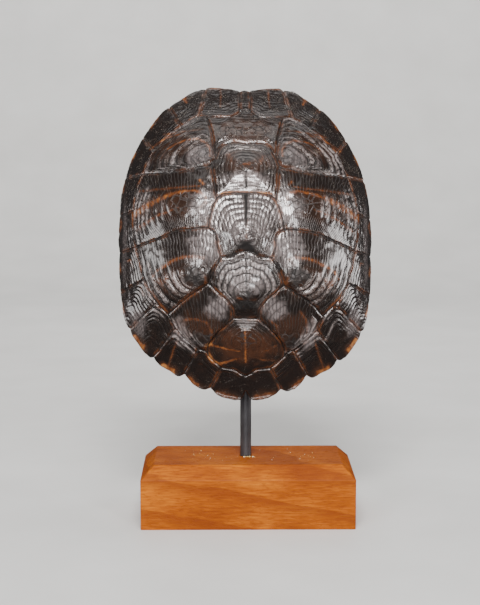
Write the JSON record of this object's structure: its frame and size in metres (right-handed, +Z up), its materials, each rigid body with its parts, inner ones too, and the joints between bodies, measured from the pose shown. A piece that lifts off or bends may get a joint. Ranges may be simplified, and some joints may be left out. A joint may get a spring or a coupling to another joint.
{
  "type": "turtle shell on a stand",
  "caption": "Domed upper shell of a freshwater turtle, open at the back, held upright by a straight steel rod in a chamfered hardwood block.",
  "frame": {"origin": "centre of the wood block's underside, where the part stands on a table", "axes": "+Z up along the rod, -Y the way the shell's outer face looks, +X to the right of someone facing it"},
  "size_m": [0.1402, 0.0803, 0.2343],
  "materials": {
    "shell_horn": "satin to glossy horn",
    "rod_steel": "dark satin steel",
    "base_wood": "oiled, satin"
  },
  "bodies": {
    "root": {"carapace": "shell_horn", "rod": "rod_steel", "base": "base_wood"}
  },
  "joints": []
}
